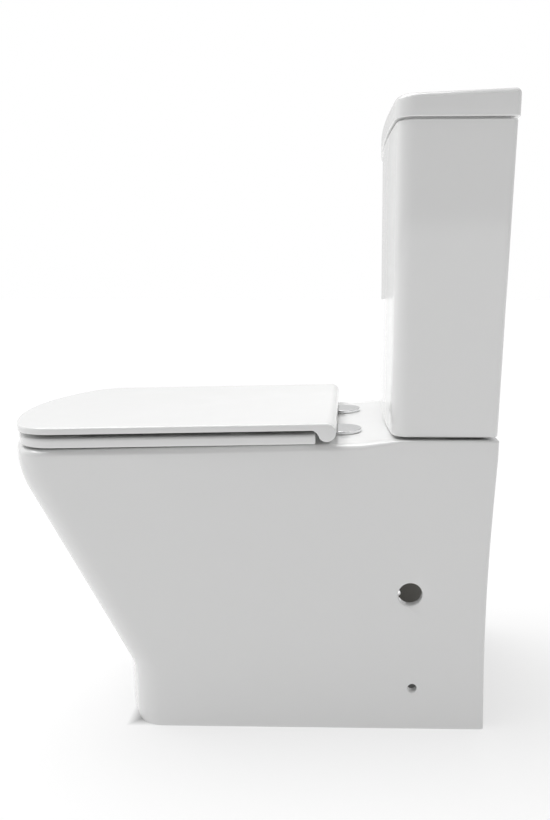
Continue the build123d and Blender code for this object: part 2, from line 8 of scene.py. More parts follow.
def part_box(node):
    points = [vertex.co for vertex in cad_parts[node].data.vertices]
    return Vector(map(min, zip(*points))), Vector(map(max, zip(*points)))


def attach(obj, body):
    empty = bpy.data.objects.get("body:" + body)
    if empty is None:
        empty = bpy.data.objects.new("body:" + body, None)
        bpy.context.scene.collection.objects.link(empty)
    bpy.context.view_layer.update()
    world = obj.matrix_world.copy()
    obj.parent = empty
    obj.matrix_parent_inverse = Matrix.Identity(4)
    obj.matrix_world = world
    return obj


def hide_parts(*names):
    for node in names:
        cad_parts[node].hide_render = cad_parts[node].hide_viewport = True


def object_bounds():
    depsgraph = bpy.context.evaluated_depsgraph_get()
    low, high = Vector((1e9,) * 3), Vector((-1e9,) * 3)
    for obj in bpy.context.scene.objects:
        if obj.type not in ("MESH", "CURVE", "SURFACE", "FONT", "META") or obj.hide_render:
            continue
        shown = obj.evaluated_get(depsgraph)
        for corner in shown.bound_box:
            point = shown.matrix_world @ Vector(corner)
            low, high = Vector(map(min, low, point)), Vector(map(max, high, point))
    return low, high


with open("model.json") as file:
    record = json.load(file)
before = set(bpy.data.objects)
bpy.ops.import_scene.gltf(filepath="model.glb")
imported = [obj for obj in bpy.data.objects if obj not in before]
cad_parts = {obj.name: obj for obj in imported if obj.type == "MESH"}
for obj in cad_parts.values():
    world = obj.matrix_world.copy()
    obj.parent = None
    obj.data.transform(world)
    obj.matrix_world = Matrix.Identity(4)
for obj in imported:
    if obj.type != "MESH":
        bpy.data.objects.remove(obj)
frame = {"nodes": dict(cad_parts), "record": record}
cadLow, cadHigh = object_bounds()
mm = 0.001

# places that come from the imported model
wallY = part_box("cistern_lid")[1].y
panFront = (wallY - cadLow.y) / mm
valveMiddle = sum(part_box("button_bezel"), Vector()) / 2
valveDistance = (wallY - valveMiddle.y) / mm
pinLow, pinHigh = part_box("right_hinge_pin")
hingeMiddle = (pinLow + pinHigh) / 2
hingeDistance = (wallY - hingeMiddle.y) / mm
hingeHeight = hingeMiddle.z / mm
discLow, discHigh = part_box("hinge_discs")
discRadius = (discHigh.y - discLow.y) / 2 / mm
discX = discHigh.x / mm - discRadius
discDistance = (wallY - (discLow.y + discHigh.y) / 2) / mm


def smooth(t):
    t = min(max(t, 0.0), 1.0)
    return t * t * (3 - 2 * t)


def mix(a, b, t):
    return a + (b - a) * t


def quarterTurn(steps, first=0):
    # angles of a quarter circle, to round an edge with a row of rings
    return [math.pi / 2 * k / steps for k in range(first, steps + 1)]


def place(x, distance, height):
    # millimetres across, out from the wall and up, to metres in the frame
    return Vector((x * mm, wallY - distance * mm, height * mm))


planSteps = {"bow": 18, "corner": 12, "side": 24, "rearCorner": 6, "rear": 14}


def planPoints(shape, inset=0.0):
    # outline seen from above as (x, distance):
    # bowed front, round corners, straight sides, flat rear
    half = shape["half"] - inset
    rearHalf = shape.get("rearHalf", shape["half"]) - inset
    corner = max(shape["corner"] - inset, 2.0)
    square = shape["rearCorner"] is None
    rearCorner = 0.0 if square else max(shape["rearCorner"] - inset, 0.6)
    bow = shape["bow"] - inset
    rearStart = shape["rear"] + inset + rearCorner
    cornerX = half - corner
    bowCentre = shape["front"] - inset - bow
    cornerD = bowCentre + math.sqrt((bow - corner) ** 2 - cornerX ** 2)
    turn = math.atan2(cornerX, cornerD - bowCentre)
    points = []
    for i in range(planSteps["bow"]):
        a = turn * i / planSteps["bow"]
        points.append((bow * math.sin(a), bowCentre + bow * math.cos(a)))
    for i in range(planSteps["corner"]):
        a = mix(turn, math.pi / 2, i / planSteps["corner"])
        points.append((cornerX + corner * math.sin(a), cornerD + corner * math.cos(a)))
    for i in range(planSteps["side"]):
        t = i / planSteps["side"]
        points.append((mix(half, rearHalf, t), mix(cornerD, rearStart, t)))
    for i in range(0 if square else planSteps["rearCorner"]):
        a = math.pi / 2 * i / planSteps["rearCorner"]
        points.append((rearHalf - rearCorner + rearCorner * math.cos(a),
                       rearStart - rearCorner * math.sin(a)))
    for i in range(planSteps["rear"] + 1):
        t = i / planSteps["rear"]
        points.append(((rearHalf - rearCorner) * (1 - t), rearStart - rearCorner))
    left = [(-x, d) for x, d in points[1:-1]]
    return points + left[::-1]


def firstRing(bm, places):
    # one closed loop that later rings grow from; the layer keeps each point's number
    layer = bm.verts.layers.int.get("ringStep") or bm.verts.layers.int.new("ringStep")
    loop = bmesh.ops.create_circle(bm, segments=len(places), radius=1.0)["verts"]
    for number, v in enumerate(loop):
        v[layer] = number
        v.co = places[number]
    return list(dict.fromkeys(e for v in loop for e in v.link_edges))


def nextRing(bm, edges, places):
    layer = bm.verts.layers.int["ringStep"]
    grown = bmesh.ops.extrude_edge_only(bm, edges=edges)["geom"]
    for v in grown:
        if isinstance(v, bmesh.types.BMVert):
            v.co = places[v[layer]]
    return [e for e in grown if isinstance(e, bmesh.types.BMEdge) and e.is_boundary]


def ringSolid(rings):
    # closed solid through a list of rings, with a flat cap at each end
    bm = bmesh.new()
    start = firstRing(bm, rings[0])
    edges = start
    for ring in rings[1:]:
        edges = nextRing(bm, edges, ring)
    bmesh.ops.edgeloop_fill(bm, edges=start)
    bmesh.ops.edgeloop_fill(bm, edges=edges)
    bmesh.ops.recalc_face_normals(bm, faces=bm.faces)
    return bm


def rodBm(radius, low, high, steps=48):
    # upright rod about its own axis, in millimetres
    bm = bmesh.new()
    bmesh.ops.create_cone(bm, cap_ends=True, segments=steps, radius1=radius * mm,
                          radius2=radius * mm,
                          depth=(high - low) * mm)
    bmesh.ops.translate(bm, verts=bm.verts, vec=(0, 0, (low + high) / 2 * mm))
    return bm


def boxBm(size, middle):
    bm = bmesh.new()
    bmesh.ops.create_cube(bm, size=1.0)
    bmesh.ops.scale(bm, verts=bm.verts, vec=[s * mm for s in size])
    bmesh.ops.translate(bm, verts=bm.verts, vec=middle)
    return bm


def roundBm(bm, width, angle=40, segments=3):
    # bevels every edge sharper than the angle
    sharp = [e for e in bm.edges
             if len(e.link_faces) == 2 and e.calc_face_angle(0) > math.radians(angle)]
    bmesh.ops.bevel(bm, geom=sharp, offset=width * mm, offset_type="OFFSET",
                    segments=segments, profile=0.5, affect="EDGES", material=-1)
    return bm


def turnedBm(profile, steps=64):
    # spins a (radius, height) outline about the upright axis;
    # an outline that starts on the axis ends on it
    bm = bmesh.new()
    verts = [bm.verts.new((r * mm, 0, h * mm)) for r, h in profile]
    edges = [bm.edges.new(pair) for pair in zip(verts, verts[1:])]
    if profile[0][0] > 0:
        edges.append(bm.edges.new((verts[-1], verts[0])))
    bmesh.ops.spin(bm, geom=verts + edges, cent=(0, 0, 0), axis=(0, 0, 1), angle=math.tau,
                   steps=steps, use_merge=True, use_duplicate=False)
    bmesh.ops.remove_doubles(bm, verts=bm.verts, dist=1e-7)
    bmesh.ops.recalc_face_normals(bm, faces=bm.faces)
    return bm


def meshObject(name, bm, material):
    mesh = bpy.data.meshes.new(name)
    bm.to_mesh(mesh)
    bm.free()
    made = bpy.data.objects.new(name, mesh)
    bpy.context.scene.collection.objects.link(made)
    mesh.materials.append(material)
    return made


def finishPiece(made, body, nodes, sharpAngle=38):
    made.data.polygons.foreach_set("use_smooth", [True] * len(made.data.polygons))
    made.data.set_sharp_from_angle(angle=math.radians(sharpAngle))
    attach(made, body)
    if nodes:
        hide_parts(*nodes)
    return made


def cutWith(target, cutters, operation="DIFFERENCE"):
    # applies one boolean per cutter and removes the cutters
    for cutter in cutters:
        step = target.modifiers.new("cut", "BOOLEAN")
        step.operation = operation
        step.object = cutter
        step.solver = "EXACT"
        step.material_mode = "TRANSFER"
        graph = bpy.context.evaluated_depsgraph_get()
        cut = bpy.data.meshes.new_from_object(target.evaluated_get(graph),
                                              preserve_all_data_layers=True,
                                              depsgraph=graph)
        target.modifiers.clear()
        old = target.data
        target.data = cut
        bpy.data.meshes.remove(old)
        bpy.data.objects.remove(cutter)
    return target


def newGroup(name, inputs, outputs):
    group = bpy.data.node_groups.new(name, "ShaderNodeTree")
    for label, kind, value in inputs:
        socket = group.interface.new_socket(label, in_out="INPUT", socket_type=kind)
        socket.default_value = value
    for label, kind in outputs:
        group.interface.new_socket(label, in_out="OUTPUT", socket_type=kind)
    return group, group.nodes.new("NodeGroupInput"), group.nodes.new("NodeGroupOutput")


def addNode(tree, kind, **values):
    node = tree.nodes.new(kind)
    for key, value in values.items():
        if hasattr(node, key):
            setattr(node, key, value)
        else:
            node.inputs[key].default_value = value
    return node


def makeSurfaceGroup():
    # faint blotches in colour and gloss, and a slow ripple with a finer grain on top
    group, start, end = newGroup("surfaceCharacter", [
        ("Color", "NodeSocketColor", (0.9, 0.9, 0.9, 1)), ("Tint", "NodeSocketColor", (0.85, 0.85,
                                                                                       0.85, 1)),
        ("Blotch Scale", "NodeSocketFloat", 9.0), ("Roughness Low", "NodeSocketFloat", 0.05),
        ("Roughness High", "NodeSocketFloat", 0.12), ("Ripple Scale", "NodeSocketFloat", 30.0),
        ("Ripple", "NodeSocketFloat", 0.05), ("Grain Scale", "NodeSocketFloat", 900.0),
        ("Grain", "NodeSocketFloat", 0.02)],
        [("Color", "NodeSocketColor"), ("Roughness", "NodeSocketFloat"),
         ("Normal", "NodeSocketVector")])
    link = group.links.new
    coords = addNode(group, "ShaderNodeTexCoord")
    blotch = addNode(group, "ShaderNodeTexNoise", Detail=3.0)
    link(coords.outputs["Object"], blotch.inputs["Vector"])
    link(start.outputs["Blotch Scale"], blotch.inputs["Scale"])
    tint = addNode(group, "ShaderNodeMix", data_type="RGBA")
    link(blotch.outputs["Fac"], tint.inputs[0])
    link(start.outputs["Color"], tint.inputs[6])
    link(start.outputs["Tint"], tint.inputs[7])
    link(tint.outputs[2], end.inputs["Color"])
    gloss = addNode(group, "ShaderNodeMapRange")
    link(blotch.outputs["Fac"], gloss.inputs["Value"])
    gloss.inputs["From Min"].default_value = 0.3
    gloss.inputs["From Max"].default_value = 0.7
    link(start.outputs["Roughness Low"], gloss.inputs["To Min"])
    link(start.outputs["Roughness High"], gloss.inputs["To Max"])
    link(gloss.outputs["Result"], end.inputs["Roughness"])
    ripple = addNode(group, "ShaderNodeTexNoise", Detail=1.0)
    link(coords.outputs["Object"], ripple.inputs["Vector"])
    link(start.outputs["Ripple Scale"], ripple.inputs["Scale"])
    rippleBump = addNode(group, "ShaderNodeBump", Distance=0.001)
    link(ripple.outputs["Fac"], rippleBump.inputs["Height"])
    link(start.outputs["Ripple"], rippleBump.inputs["Strength"])
    grain = addNode(group, "ShaderNodeTexNoise", Detail=2.0)
    link(coords.outputs["Object"], grain.inputs["Vector"])
    link(start.outputs["Grain Scale"], grain.inputs["Scale"])
    grainBump = addNode(group, "ShaderNodeBump", Distance=0.0005)
    link(grain.outputs["Fac"], grainBump.inputs["Height"])
    link(start.outputs["Grain"], grainBump.inputs["Strength"])
    link(rippleBump.outputs["Normal"], grainBump.inputs["Normal"])
    link(grainBump.outputs["Normal"], end.inputs["Normal"])
    return group


surfaceGroup = makeSurfaceGroup()


def surfaceMaterial(name, color, tint, effect, shader):
    # one principled surface with the shared effect on colour, gloss and normal
    material = bpy.data.materials.new(name)
    material.use_nodes = True
    tree = material.node_tree
    bsdf = tree.nodes["Principled BSDF"]
    for key, value in shader.items():
        bsdf.inputs[key].default_value = value
    node = tree.nodes.new("ShaderNodeGroup")
    node.node_tree = surfaceGroup
    node.inputs["Color"].default_value = (*color, 1)
    node.inputs["Tint"].default_value = (*tint, 1)
    for key, value in effect.items():
        node.inputs[key].default_value = value
    tree.links.new(node.outputs["Color"], bsdf.inputs["Base Color"])
    tree.links.new(node.outputs["Roughness"], bsdf.inputs["Roughness"])
    tree.links.new(node.outputs["Normal"], bsdf.inputs["Normal"])
    material.diffuse_color = (*color, 1)
    return material


glaze = surfaceMaterial(
    "whiteGlaze", (0.86, 0.86, 0.855), (0.845, 0.847, 0.845),
    {"Blotch Scale": 7.0, "Roughness Low": 0.05, "Roughness High": 0.09, "Ripple Scale": 22.0,
     "Ripple": 0.10,
     "Grain Scale": 260.0, "Grain": 0.012},
    {"IOR": 1.52, "Coat Weight": 0.35, "Coat Roughness": 0.03})
# unglazed clay for the hidden insides and the bolt holes: the clay's real grey-brown tone, darkened
# well below its own brightness as painted shade, so the hollow seen through the side holes reads
# dark
clayPaintedShade = surfaceMaterial(
    "unglazedClayPaintedShade", (0.36, 0.35, 0.33), (0.28, 0.27, 0.25),
    {"Blotch Scale": 24.0, "Roughness Low": 0.62, "Roughness High": 0.85, "Ripple Scale": 60.0,
     "Ripple": 0.3,
     "Grain Scale": 1500.0, "Grain": 0.35},
    {"IOR": 1.45})
seatPlastic = surfaceMaterial(
    "seatPlastic", (0.87, 0.87, 0.865), (0.862, 0.863, 0.862),
    {"Blotch Scale": 12.0, "Roughness Low": 0.11, "Roughness High": 0.16, "Ripple Scale": 35.0,
     "Ripple": 0.03,
     "Grain Scale": 1400.0, "Grain": 0.02},
    {"IOR": 1.49, "Coat Weight": 0.15, "Coat Roughness": 0.08})
valvePlastic = surfaceMaterial(
    "valvePlastic", (0.80, 0.81, 0.81), (0.74, 0.75, 0.755),
    {"Blotch Scale": 40.0, "Roughness Low": 0.32, "Roughness High": 0.48, "Ripple Scale": 120.0,
     "Ripple": 0.12,
     "Grain Scale": 2600.0, "Grain": 0.25},
    {"IOR": 1.5})
greyPlastic = surfaceMaterial(
    "greyPlastic", (0.20, 0.215, 0.23), (0.15, 0.16, 0.175),
    {"Blotch Scale": 50.0, "Roughness Low": 0.34, "Roughness High": 0.5, "Ripple Scale": 120.0,
     "Ripple": 0.1,
     "Grain Scale": 2600.0, "Grain": 0.3},
    {"IOR": 1.5})
bluePlastic = surfaceMaterial(
    "bluePlastic", (0.10, 0.25, 0.44), (0.08, 0.20, 0.37),
    {"Blotch Scale": 50.0, "Roughness Low": 0.3, "Roughness High": 0.45, "Ripple Scale": 120.0,
     "Ripple": 0.1,
     "Grain Scale": 2600.0, "Grain": 0.25},
    {"IOR": 1.5})
blackRubber = surfaceMaterial(
    "blackRubber", (0.035, 0.035, 0.036), (0.06, 0.06, 0.058),
    {"Blotch Scale": 90.0, "Roughness Low": 0.55, "Roughness High": 0.75, "Ripple Scale": 200.0,
     "Ripple": 0.2,
     "Grain Scale": 3000.0, "Grain": 0.4},
    {"IOR": 1.5})
clearRubber = surfaceMaterial(
    "clearRubber", (0.72, 0.72, 0.69), (0.62, 0.62, 0.58),
    {"Blotch Scale": 120.0, "Roughness Low": 0.3, "Roughness High": 0.42, "Ripple Scale": 200.0,
     "Ripple": 0.15,
     "Grain Scale": 3000.0, "Grain": 0.15},
    {"IOR": 1.45, "Subsurface Weight": 0.3, "Subsurface Radius": (0.004, 0.004, 0.003),
     "Subsurface Scale": 0.5})
foamRubber = surfaceMaterial(
    "foamRubber", (0.045, 0.045, 0.047), (0.09, 0.09, 0.09),
    {"Blotch Scale": 400.0, "Roughness Low": 0.85, "Roughness High": 0.97, "Ripple Scale": 700.0,
     "Ripple": 0.9,
     "Grain Scale": 1800.0, "Grain": 0.9},
    {"IOR": 1.4})
stainless = surfaceMaterial(
    "stainless", (0.60, 0.60, 0.59), (0.52, 0.52, 0.515),
    {"Blotch Scale": 90.0, "Roughness Low": 0.2, "Roughness High": 0.34, "Ripple Scale": 300.0,
     "Ripple": 0.05,
     "Grain Scale": 4000.0, "Grain": 0.25},
    {"Metallic": 1.0})
chrome = surfaceMaterial(
    "chrome", (0.78, 0.785, 0.79), (0.74, 0.745, 0.75),
    {"Blotch Scale": 60.0, "Roughness Low": 0.05, "Roughness High": 0.11, "Ripple Scale": 90.0,
     "Ripple": 0.02,
     "Grain Scale": 2000.0, "Grain": 0.01},
    {"Metallic": 1.0})
slotMaterials = {
    "ceramic": glaze, "seat_plastic": seatPlastic, "valve_plastic": valvePlastic,
    "grey_plastic": greyPlastic,
    "blue_plastic": bluePlastic, "black_rubber": blackRubber, "clear_rubber": clearRubber,
    "foam_rubber": foamRubber, "stainless": stainless, "chrome": chrome}
slotOf = {row["node"]: row["material_slot"] for row in frame["record"]["subparts"]}
for nodeName, nodeObject in frame["nodes"].items():
    nodeObject.data.materials.clear()
    nodeObject.data.materials.append(slotMaterials[slotOf[nodeName]])
print("materials ready")


# pan, in millimetres up from the floor and out from the wall
pan = {
    "floorHalf": 168.0, "rimHalf": 180.0, "rearHalf": 168.0, "plinthFront": 521.0, "bow": 320.0,
    "corner": 46.0, "rearCorner": 5.0, "lean": 26.1, "leanStart": 83.0, "leanEnd": 362.6,
    "plinthBend": 60.0, "browBend": 106.0, "browHeight": 387.5, "scoop": 5.0, "rimFront": 395.0,
    "rimSlope": 1.2, "platform": 410.0, "ramp": (176.0, 120.0), "footRound": 1.6,
    "edge": (2.5, 8.0), "edgeTaper": (115.0, 190.0), "edgeReach": 10.0, "wall": 12.0, "deck": 15.0,
    "deckSteps": 15, "lip": 10.0, "skirtRear": -30.0, "sideRun": 520.0,
    "heights": [6, 16, 30, 48, 62, 69, 72, 75, 78, 81, 84, 87, 90, 93, 96, 104, 130, 165, 200, 235,
                270, 300, 325, 336, 341, 346, 351, 356, 361, 366, 371, 376, 381, 384.5],
    "skirtHeights": [-6, 30, 69, 75, 81, 87, 96, 130, 170, 210, 260, 310, 340, 348, 356, 364, 372]}
bowl = {
    "levels": [(395.0, 131.0, 606.0, 292.0, 98.0), (340.0, 122.0, 590.0, 300.0, 90.0),
               (260.0, 98.0, 553.0, 317.0, 74.0), (190.0, 68.0, 509.0, 337.0, 54.0),
               (130.0, 44.0, 464.0, 352.0, 38.0), (76.0, 30.0, 424.0, 360.0, 26.0)],
    "bow": 420.0, "rearCorner": 0.7, "wall": 10.0, "wellRound": 18.0, "shellRound": 24,
    "shellRise": 12,
    "heights": [378, 364, 350, 336, 320, 304, 288, 272, 256, 240, 224, 208, 192, 176, 160, 145,
                130, 116, 104, 94],
    "shellHeights": [430, 395, 370, 340, 310, 280, 250, 220, 190, 160, 130, 105, 85]}
trap = {"route": [(415, 122), (372, 98), (268, 226), (222, 181), (140, 181)], "bore": 27.0,
        "wall": 10.0, "collar": 51.0, "collarBore": 41.0, "collarStart": 195.0}
flushDuct = {"box": (88, 275, 52), "boxSpot": (177.5, 368), "boxRound": 8,
             "way": (68, 273, 32), "waySpot": (181.5, 368), "wayRound": 6}
panHoles = {"side": (107.0, 201.5, 16.0), "fixing": (101.0, 63.0, 6.25), "round": 2.2, "depth": 40,
            "clear": 0.6, "outside": 6, "top": 425, "boss": (58, 345, 420), "inlet": (30.0, 354),
            "recess": (48.0, 391.0), "bolt": (75.0, 7.0, 380), "shank": (120.0, 20.0, 380),
            "stud": (7.0, 375)}


def frontDistance(height):
    slope = math.radians(pan["lean"])
    lower = pan["plinthBend"] * math.tan(slope / 2)
    upper = pan["browBend"] * math.tan(slope / 2)
    if height <= pan["leanStart"] - lower:
        return pan["plinthFront"]
    if height < pan["leanStart"] + lower * math.cos(slope):
        rise = height - pan["leanStart"] + lower
        reach = math.sqrt(pan["plinthBend"] ** 2 - rise ** 2)
        return pan["plinthFront"] + pan["plinthBend"] - reach
    if height <= pan["leanEnd"] - upper * math.cos(slope):
        return pan["plinthFront"] + (height - pan["leanStart"]) * math.tan(slope)
    if height < pan["leanEnd"] + upper:
        drop = pan["leanEnd"] + upper - height
        return panFront - pan["browBend"] + math.sqrt(pan["browBend"] ** 2 - drop ** 2)
    return panFront


def panShape(height):
    share = min(max(height / pan["browHeight"], 0.0), 1.0)
    return {"half": mix(pan["floorHalf"], pan["rimHalf"], share), "rearHalf": pan["rearHalf"],
            "front": frontDistance(height), "bow": pan["bow"], "corner": pan["corner"],
            "rear": pan["scoop"] * math.sin(math.pi * share), "rearCorner": pan["rearCorner"]}


def rimTop(distance):
    slope = pan["rimFront"] + (panFront - distance) * math.tan(math.radians(pan["rimSlope"]))
    start, end = pan["ramp"]
    return mix(slope, pan["platform"], smooth((start - distance) / (start - end)))


def bowlShape(height):
    # cubic through the neighbouring levels, so the wall has no kinks
    levels = bowl["levels"]
    height = min(max(height, levels[-1][0]), levels[0][0])
    i = next(k for k in range(len(levels) - 1) if height >= levels[k + 1][0])
    t = (levels[i][0] - height) / (levels[i][0] - levels[i + 1][0])
    row = []
    for column in range(1, 5):
        p1, p2 = levels[i][column], levels[i + 1][column]
        p0 = levels[i - 1][column] if i else 2 * p1 - p2
        p3 = levels[i + 2][column] if i + 2 < len(levels) else 2 * p2 - p1
        row.append(0.5 * (2 * p1 + (p2 - p0) * t + (2 * p0 - 5 * p1 + 4 * p2 - p3) * t ** 2
                          + (3 * p1 - p0 - 3 * p2 + p3) * t ** 3))
    half, front, rear, corner = row
    return {"half": half, "front": front, "rear": rear, "corner": corner, "bow": bowl["bow"],
            "rearCorner": corner * bowl["rearCorner"]}


def levelRing(points, height):
    return [place(x, d, height) for x, d in points]


def panOuterRings():
    rings = [levelRing(planPoints(panShape(0), pan["footRound"]), 0.0)]
    chamfer = pan["footRound"] * 0.3
    rings.append(levelRing(planPoints(panShape(0), chamfer), chamfer))
    for height in [pan["footRound"]] + pan["heights"]:
        rings.append(levelRing(planPoints(panShape(height)), height))
    top = panShape(pan["browHeight"])
    wall = planPoints(top)
    reach = pan["edgeReach"]
    inward = [((x2 - x1) / reach, (d2 - d1) / reach)
              for (x1, d1), (x2, d2) in zip(wall, planPoints(top, reach))]
    taperLow, taperHigh = pan["edgeTaper"]
    rounds = [mix(*pan["edge"], smooth((d - taperLow) / (taperHigh - taperLow)))
              for x, d in wall]
    for a in quarterTurn(8):
        ring = []
        for (x, d), (ix, idist), r in zip(wall, inward, rounds):
            inset = r * (1 - math.cos(a))
            ring.append(place(x + ix * inset, d + idist * inset, rimTop(d) - r + r * math.sin(a)))
        rings.append(ring)
    deckStart = [(x + ix * r, d + idist * r)
                 for (x, d), (ix, idist), r in zip(wall, inward, rounds)]
    mouth = bowlShape(bowl["levels"][0][0])
    lipOut = planPoints(mouth, -pan["lip"])
    for k in range(1, pan["deckSteps"] + 1):
        t = k / pan["deckSteps"]
        ring = []
        for (x1, d1), (x2, d2) in zip(deckStart, lipOut):
            x, d = mix(x1, x2, t), mix(d1, d2, t)
            ring.append(place(x, d, rimTop(d)))
        rings.append(ring)
    lip = pan["lip"]
    for a in quarterTurn(7, 1):
        points = planPoints(mouth, -lip * (1 - math.sin(a)))
        rings.append([place(x, d, rimTop(d) - lip * (1 - math.cos(a))) for x, d in points])
    for height in bowl["heights"]:
        rings.append(levelRing(planPoints(bowlShape(height)), height))
    wellFloor = bowl["levels"][-1][0]
    for a in quarterTurn(6, 1):
        points = planPoints(bowlShape(wellFloor), bowl["wellRound"] * (1 - math.cos(a)))
        rings.append(levelRing(points, wellFloor + bowl["wellRound"] * (1 - math.sin(a))))
    return rings


def skirtShape(height):
    # the hollow skirt is open at the rear
    return dict(panShape(height), rear=pan["skirtRear"] - pan["wall"])


def skirtVoidRings():
    heights = pan["skirtHeights"]
    rings = [levelRing(planPoints(skirtShape(height), pan["wall"]), height) for height in heights]
    last = planPoints(skirtShape(heights[-1]), pan["wall"])
    rings.append([place(x, d, rimTop(d) - pan["deck"]) for x, d in last])
    return rings


def bowlOuterRings():
    rings = []
    for height in bowl["shellHeights"]:
        rings.append(levelRing(planPoints(bowlShape(height), -bowl["wall"]), height))
    wellFloor, r = bowl["levels"][-1][0], bowl["shellRound"]
    for a in quarterTurn(5, 1):
        points = planPoints(bowlShape(wellFloor), -bowl["wall"] + r * (1 - math.cos(a)))
        rings.append(levelRing(points, wellFloor + bowl["shellRise"] - r * math.sin(a)))
    return rings


def trapTube(name, radius, material):
    # a bevelled curve along the water's way, made a closed mesh
    curve = bpy.data.curves.new(name, "CURVE")
    curve.dimensions = "3D"
    curve.bevel_depth = radius * mm
    curve.bevel_resolution = 10
    curve.resolution_u = 10
    curve.use_fill_caps = True
    spline = curve.splines.new("NURBS")
    spline.points.add(len(trap["route"]) - 1)
    for point, (distance, height) in zip(spline.points, trap["route"]):
        point.co = (*place(0, distance, height), 1)
    spline.order_u = 3
    spline.use_endpoint_u = True
    holder = bpy.data.objects.new(name, curve)
    bpy.context.scene.collection.objects.link(holder)
    graph = bpy.context.evaluated_depsgraph_get()
    mesh = bpy.data.meshes.new_from_object(holder.evaluated_get(graph), depsgraph=graph)
    bpy.data.objects.remove(holder)
    bm = bmesh.new()
    bm.from_mesh(mesh)
    bmesh.ops.remove_doubles(bm, verts=bm.verts, dist=1e-6)
    bmesh.ops.recalc_face_normals(bm, faces=bm.faces)
    return meshObject(name, bm, material)


def sidewaysRod(name, radius, near, far, height, material):
    bm = rodBm(radius, -(far - near) / 2, (far - near) / 2, 64)
    bmesh.ops.rotate(bm, verts=bm.verts, cent=(0, 0, 0),
                     matrix=Matrix.Rotation(math.pi / 2, 3, "X"))
    bmesh.ops.translate(bm, verts=bm.verts, vec=place(0, (near + far) / 2, height))
    return meshObject(name, bm, material)


def uprightRod(name, radius, low, high, x, distance, material, steps=64):
    bm = rodBm(radius, low, high, steps)
    bmesh.ops.translate(bm, verts=bm.verts, vec=place(x, distance, 0))
    return meshObject(name, bm, material)


def flaredCutter(name, radius, flare, side, distance, height, material):
    # rod across the side wall that opens out at the outer face, so the hole's edge is round
    share = height / pan["browHeight"]
    widest = mix(pan["floorHalf"], pan["rimHalf"], share)
    half = mix(pan["rearHalf"], widest, distance / pan["sideRun"])
    depth, clear, outside = panHoles["depth"], panHoles["clear"], panHoles["outside"]
    profile = [(0, -depth), (radius, -depth)]
    for a in quarterTurn(5):
        profile.append((radius + flare * (1 - math.cos(a)), -flare + flare * math.sin(a)))
    profile += [(radius + flare + clear, clear), (radius + flare + clear, outside), (0, outside)]
    bm = turnedBm(profile, 64)
    turn = Matrix.Rotation(math.pi / 2 * side, 3, "Y")
    bmesh.ops.rotate(bm, verts=bm.verts, cent=(0, 0, 0), matrix=turn)
    bmesh.ops.translate(bm, verts=bm.verts, vec=place(side * half, distance, height))
    return meshObject(name, bm, material)


def ductBox(name, key, material):
    bm = boxBm(flushDuct[key], place(0, *flushDuct[key + "Spot"]))
    return meshObject(name, roundBm(bm, flushDuct[key + "Round"]), material)


def panBore(name, radius, low, x, distance, material, steps=64):
    # upright hole in the deck, cut down from above
    return uprightRod(name, radius, low, panHoles["top"], x, distance, material, steps)


def makePan():
    # the skirt's hollow, the bowl's underside and the trap take the darkened clay, which paints
    # shade into the pan's inside
    body = meshObject("panCasting", ringSolid(panOuterRings()), glaze)
    void = meshObject("skirtVoid", ringSolid(skirtVoidRings()), clayPaintedShade)
    outletEnd, outletHeight = trap["route"][-1]
    keep = [meshObject("bowlShell", ringSolid(bowlOuterRings()), clayPaintedShade)]
    keep.append(ductBox("flushBox", "box", clayPaintedShade))
    keep.append(uprightRod("inletBoss", *panHoles["boss"], 0, valveDistance, clayPaintedShade))
    keep.append(trapTube("trapShell", trap["bore"] + trap["wall"], clayPaintedShade))
    keep.append(sidewaysRod("outletCollar", trap["collar"], outletEnd, trap["collarStart"],
                            outletHeight, clayPaintedShade))
    cutWith(void, keep)
    cutWith(body, [void])
    bores = [trapTube("trapBore", trap["bore"], glaze)]
    bores.append(sidewaysRod("outletBore", trap["collarBore"], outletEnd - 2,
                             trap["collarStart"] - 10, outletHeight, glaze))
    bores.append(ductBox("flushWay", "way", glaze))
    bores.append(panBore("inletBore", *panHoles["inlet"], 0, valveDistance, glaze))
    bores.append(panBore("inletRecess", *panHoles["recess"], 0, valveDistance, glaze))
    for side in (1, -1):
        boltX, *bolt = panHoles["bolt"]
        shankX, *shank = panHoles["shank"]
        bores.append(panBore("boltBore", *bolt, side * boltX, valveDistance, clayPaintedShade, 32))
        bores.append(panBore("shankBore", *shank, side * shankX, valveDistance, clayPaintedShade, 48))
        bores.append(panBore("studBore", *panHoles["stud"], side * discX, discDistance, clayPaintedShade,
                             32))
        for key in ("side", "fixing"):
            distance, height, radius = panHoles[key]
            flare = panHoles["round"] * min(radius / 8, 1)
            bores.append(flaredCutter(key + "Bore", radius, flare, side, distance, height, glaze))
    cutWith(body, bores)
    finishPiece(body, "toilet", ["pan"], 34)
    print("pan ready", len(body.data.polygons))


makePan()


# cistern, tapering down to the pan's platform
cistern = {"low": 413.0, "high": 781.0, "lowHalf": 165.0, "highHalf": 183.0, "lowFront": 141.0,
           "highFront": 143.5,
           "bow": 2200.0, "corner": 22.0, "rear": 2.0, "rearCorner": 6.0, "wall": 9.0,
           "floor": 425.0,
           "bottomRound": 4.0, "rimRound": 1.4, "insideRound": 9.0, "bolt": (75.0, 7.0),
           "outlet": 29.0,
           "shank": (-120.0, 12.0)}


def cisternShape(height, wall=0.0):
    t = (height - cistern["low"]) / (cistern["high"] - cistern["low"])
    return {"half": mix(cistern["lowHalf"], cistern["highHalf"], t) - wall,
            "front": mix(cistern["lowFront"], cistern["highFront"], t) - wall,
            "bow": cistern["bow"],
            "corner": cistern["corner"] - (8 if wall else 0), "rear": cistern["rear"] + wall,
            "rearCorner": cistern["rearCorner"]}


